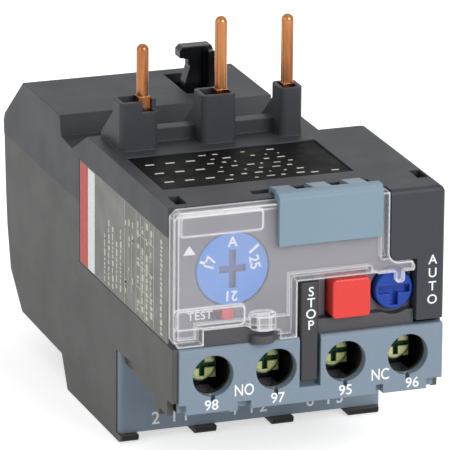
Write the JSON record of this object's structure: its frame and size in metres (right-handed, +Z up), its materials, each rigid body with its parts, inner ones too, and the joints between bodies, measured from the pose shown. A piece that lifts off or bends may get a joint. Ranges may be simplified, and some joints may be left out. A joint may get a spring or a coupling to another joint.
{
  "type": "thermal overload relay",
  "caption": "Thermal overload relay with plug-in contactor pins, hinged clear cover, setting dial, stop and reset buttons and screw terminals.",
  "frame": {"origin": "centre of the bounding box in plan, on the plane that the case stands on", "axes": "+X to the right seen from the front, +Y from the front to the back, +Z up along the contactor pins"},
  "size_m": [0.045, 0.0882, 0.0665],
  "materials": {
    "charcoal": "fine-grained moulded charcoal thermoset",
    "dark_grey": "fine-grained moulded dark grey plastic",
    "panel_grey": "matt dark grey panel",
    "blue_grey": "matt blue-grey moulding",
    "flap_blue_grey": "matt blue-grey moulding",
    "clear": "clear polycarbonate",
    "dial_blue": "smooth light blue plastic",
    "knob_blue": "smooth deep blue plastic",
    "red": "smooth red plastic",
    "black": "black plastic",
    "copper": "bare copper, lightly drawn",
    "zinc": "yellow-green passivated zinc plating",
    "contact_brass": "bare brass",
    "label_grey": "printed plastic plate",
    "label_black": "printed plastic plate",
    "insulator": "natural moulded insulator",
    "bimetal": "bimetal strip",
    "heater": "resistance ribbon",
    "steel": "spring steel"
  },
  "bodies": {
    "case": {"bimetal_strips": "bimetal", "contact_bar_95": "contact_brass", "contact_bar_96": "contact_brass", "contact_bar_97": "contact_brass", "contact_bar_98": "contact_brass", "contact_pin_3": "copper", "control_block": "blue_grey", "front_panel": "panel_grey", "heater_windings": "heater", "lever_pin": "steel", "line_strip_1": "copper", "line_strip_2": "copper", "line_strip_3": "copper", "load_bar_1": "contact_brass", "load_bar_2": "contact_brass", "load_bar_3": "contact_brass", "load_block": "blue_grey", "lower_housing": "dark_grey", "mechanism_frame": "insulator", "pole_carrier": "insulator", "reset_spring": "steel", "rocker_shaft": "steel", "rocker_spring": "steel", "side_label": "label_grey", "stop_bar": "black", "stop_spring": "steel", "top_label": "label_black", "upper_housing": "charcoal"},
    "cover": {"clear_cover": "clear", "label_flap": "flap_blue_grey"},
    "dial": {"setting_dial": "dial_blue", "setting_cam": "insulator"},
    "stop_button": {"stop_button": "red"},
    "reset_plunger": {"reset_plunger": "insulator"},
    "reset_knob": {"reset_knob": "knob_blue"},
    "test_slide": {"test_slide": "red"},
    "hook": {"contactor_hook": "black"},
    "pin_1": {"contact_pin_1": "copper"},
    "pin_2": {"contact_pin_2": "copper"},
    "trip_bar": {"trip_bar": "insulator"},
    "differential_bar": {"differential_bar": "insulator"},
    "transfer_lever": {"transfer_lever": "insulator"},
    "rocker": {"contact_rocker": "insulator", "nc_blade": "contact_brass", "no_blade": "contact_brass"},
    "washer_98": {"clamp_washer_98": "zinc"},
    "screw_98": {"terminal_screw_98": "zinc"},
    "washer_97": {"clamp_washer_97": "zinc"},
    "screw_97": {"terminal_screw_97": "zinc"},
    "washer_95": {"clamp_washer_95": "zinc"},
    "screw_95": {"terminal_screw_95": "zinc"},
    "washer_96": {"clamp_washer_96": "zinc"},
    "screw_96": {"terminal_screw_96": "zinc"},
    "load_washer_1": {"load_washer_1": "zinc"},
    "load_screw_1": {"load_screw_1": "zinc"},
    "load_washer_2": {"load_washer_2": "zinc"},
    "load_screw_2": {"load_screw_2": "zinc"},
    "load_washer_3": {"load_washer_3": "zinc"},
    "load_screw_3": {"load_screw_3": "zinc"}
  },
  "joints": [
    {"name": "cover_hinge", "type": "hinge", "parent": "case", "child": "cover", "pos_m": [0, -0.0364, 0.0462], "axis": [-1, 0, 0], "range_deg": [0, 105]},
    {"name": "dial_turn", "type": "hinge", "parent": "case", "child": "dial", "pos_m": [-0.0119, -0.0423, 0.03535], "axis": [0, 1, 0], "range_deg": [0, 238]},
    {"name": "stop_push", "type": "slide", "parent": "case", "child": "stop_button", "axis": [0, 1, 0], "range_m": [0, 0.0022], "stiffness_N_per_m": 300, "springref_m": -0.001, "deforming": ["stop_spring"]},
    {"name": "reset_push", "type": "slide", "parent": "case", "child": "reset_plunger", "axis": [0, 1, 0], "range_m": [0, 0.002], "stiffness_N_per_m": 300, "springref_m": -0.001, "deforming": ["reset_spring"]},
    {"name": "reset_turn", "type": "hinge", "parent": "reset_plunger", "child": "reset_knob", "pos_m": [0.01445, -0.0423, 0.0297], "axis": [0, 1, 0], "range_deg": [-90, 0]},
    {"name": "test_push", "type": "slide", "parent": "case", "child": "test_slide", "axis": [-1, 0, 0], "range_m": [0, 0.0018], "stiffness_N_per_m": 100, "springref_m": -0.0005},
    {"name": "hook_slide", "type": "slide", "parent": "case", "child": "hook", "axis": [0, 1, 0], "range_m": [0, 0.005]},
    {"name": "pin_1_shift", "type": "slide", "parent": "case", "child": "pin_1", "axis": [1, 0, 0], "range_m": [-0.0027, 0]},
    {"name": "pin_2_shift", "type": "slide", "parent": "case", "child": "pin_2", "axis": [1, 0, 0], "range_m": [-0.0022, 0.00005]},
    {"name": "trip_slide", "type": "slide", "parent": "case", "child": "trip_bar", "axis": [1, 0, 0], "range_m": [0, 0.0015]},
    {"name": "differential_slide", "type": "slide", "parent": "case", "child": "differential_bar", "axis": [1, 0, 0], "range_m": [0, 0.0015]},
    {"name": "lever_turn", "type": "hinge", "parent": "case", "child": "transfer_lever", "pos_m": [0.0042, 0.0037, 0], "axis": [0, 0, -1], "range_deg": [0, 6]},
    {"name": "rocker_turn", "type": "hinge", "parent": "case", "child": "rocker", "pos_m": [0, -0.0228, 0.0382], "axis": [-1, 0, 0], "range_deg": [0, 6], "stiffness_Nm_per_rad": 0.01, "springref_deg": -5.73},
    {"name": "washer_98_travel", "type": "slide", "parent": "case", "child": "washer_98", "axis": [0, 1, 0], "range_m": [-0.0024, 0.0006]},
    {"name": "screw_98_turn", "type": "hinge", "parent": "washer_98", "child": "screw_98", "pos_m": [-0.0159, -0.0423, 0.0191], "axis": [0, 1, 0], "range_deg": [-1730, 434]},
    {"name": "washer_97_travel", "type": "slide", "parent": "case", "child": "washer_97", "axis": [0, 1, 0], "range_m": [-0.0024, 0.0006]},
    {"name": "screw_97_turn", "type": "hinge", "parent": "washer_97", "child": "screw_97", "pos_m": [-0.00545, -0.0423, 0.0191], "axis": [0, 1, 0], "range_deg": [-1730, 434]},
    {"name": "washer_95_travel", "type": "slide", "parent": "case", "child": "washer_95", "axis": [0, 1, 0], "range_m": [-0.0024, 0.0006]},
    {"name": "screw_95_turn", "type": "hinge", "parent": "washer_95", "child": "screw_95", "pos_m": [0.00605, -0.0423, 0.0191], "axis": [0, 1, 0], "range_deg": [-1730, 434]},
    {"name": "washer_96_travel", "type": "slide", "parent": "case", "child": "washer_96", "axis": [0, 1, 0], "range_m": [-0.0024, 0.0006]},
    {"name": "screw_96_turn", "type": "hinge", "parent": "washer_96", "child": "screw_96", "pos_m": [0.0165, -0.0423, 0.0191], "axis": [0, 1, 0], "range_deg": [-1730, 434]},
    {"name": "load_washer_1_travel", "type": "slide", "parent": "case", "child": "load_washer_1", "axis": [0, 1, 0], "range_m": [-0.0009, 0.0006]},
    {"name": "load_screw_1_turn", "type": "hinge", "parent": "load_washer_1", "child": "load_screw_1", "pos_m": [-0.0142, -0.0423, 0.0095], "axis": [0, 1, 0], "range_deg": [-465, 310]},
    {"name": "load_washer_2_travel", "type": "slide", "parent": "case", "child": "load_washer_2", "axis": [0, 1, 0], "range_m": [-0.0009, 0.0006]},
    {"name": "load_screw_2_turn", "type": "hinge", "parent": "load_washer_2", "child": "load_screw_2", "pos_m": [-0.001, -0.0423, 0.0095], "axis": [0, 1, 0], "range_deg": [-465, 310]},
    {"name": "load_washer_3_travel", "type": "slide", "parent": "case", "child": "load_washer_3", "axis": [0, 1, 0], "range_m": [-0.0009, 0.0006]},
    {"name": "load_screw_3_turn", "type": "hinge", "parent": "load_washer_3", "child": "load_screw_3", "pos_m": [0.0122, -0.0423, 0.0095], "axis": [0, 1, 0], "range_deg": [-465, 310]}
  ],
  "couplings": [
    {"joint": "lever_turn", "follows": "trip_slide", "rad_per_m": 66.667},
    {"joint": "screw_98_turn", "follows": "washer_98_travel", "rad_per_m": 12566},
    {"joint": "screw_97_turn", "follows": "washer_97_travel", "rad_per_m": 12566},
    {"joint": "screw_95_turn", "follows": "washer_95_travel", "rad_per_m": 12566},
    {"joint": "screw_96_turn", "follows": "washer_96_travel", "rad_per_m": 12566},
    {"joint": "load_screw_1_turn", "follows": "load_washer_1_travel", "rad_per_m": 8976},
    {"joint": "load_screw_2_turn", "follows": "load_washer_2_travel", "rad_per_m": 8976},
    {"joint": "load_screw_3_turn", "follows": "load_washer_3_travel", "rad_per_m": 8976}
  ]
}
